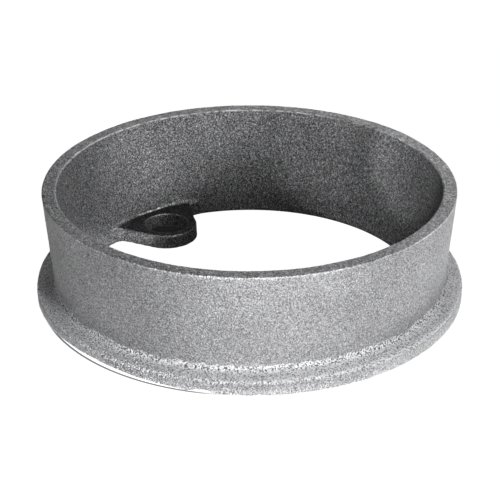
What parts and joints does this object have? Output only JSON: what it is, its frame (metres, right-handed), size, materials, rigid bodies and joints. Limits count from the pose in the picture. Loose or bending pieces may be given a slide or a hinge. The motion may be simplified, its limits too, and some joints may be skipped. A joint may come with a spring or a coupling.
{
  "type": "toilet flange",
  "caption": "Cast ring with a flared wall, a lip round its machined foot, inner bolt lugs and a rubber face seal; joins a toilet or soil pipe to a flat face.",
  "frame": {"origin": "centre of the machined joint face, on the axis of the ring", "axes": "+Z along the ring's axis from the joint face to the wide mouth; +X through the centres of the bolt lugs"},
  "size_m": [0.1264, 0.1264, 0.0337],
  "materials": {
    "cast_iron": "shot-blasted as-cast grey iron, bright where the joint face and its outer bevel are turned",
    "seal_rubber": "matt black moulded rubber"
  },
  "bodies": {
    "root": {"flange_casting": "cast_iron", "face_seal": "seal_rubber"}
  },
  "joints": []
}
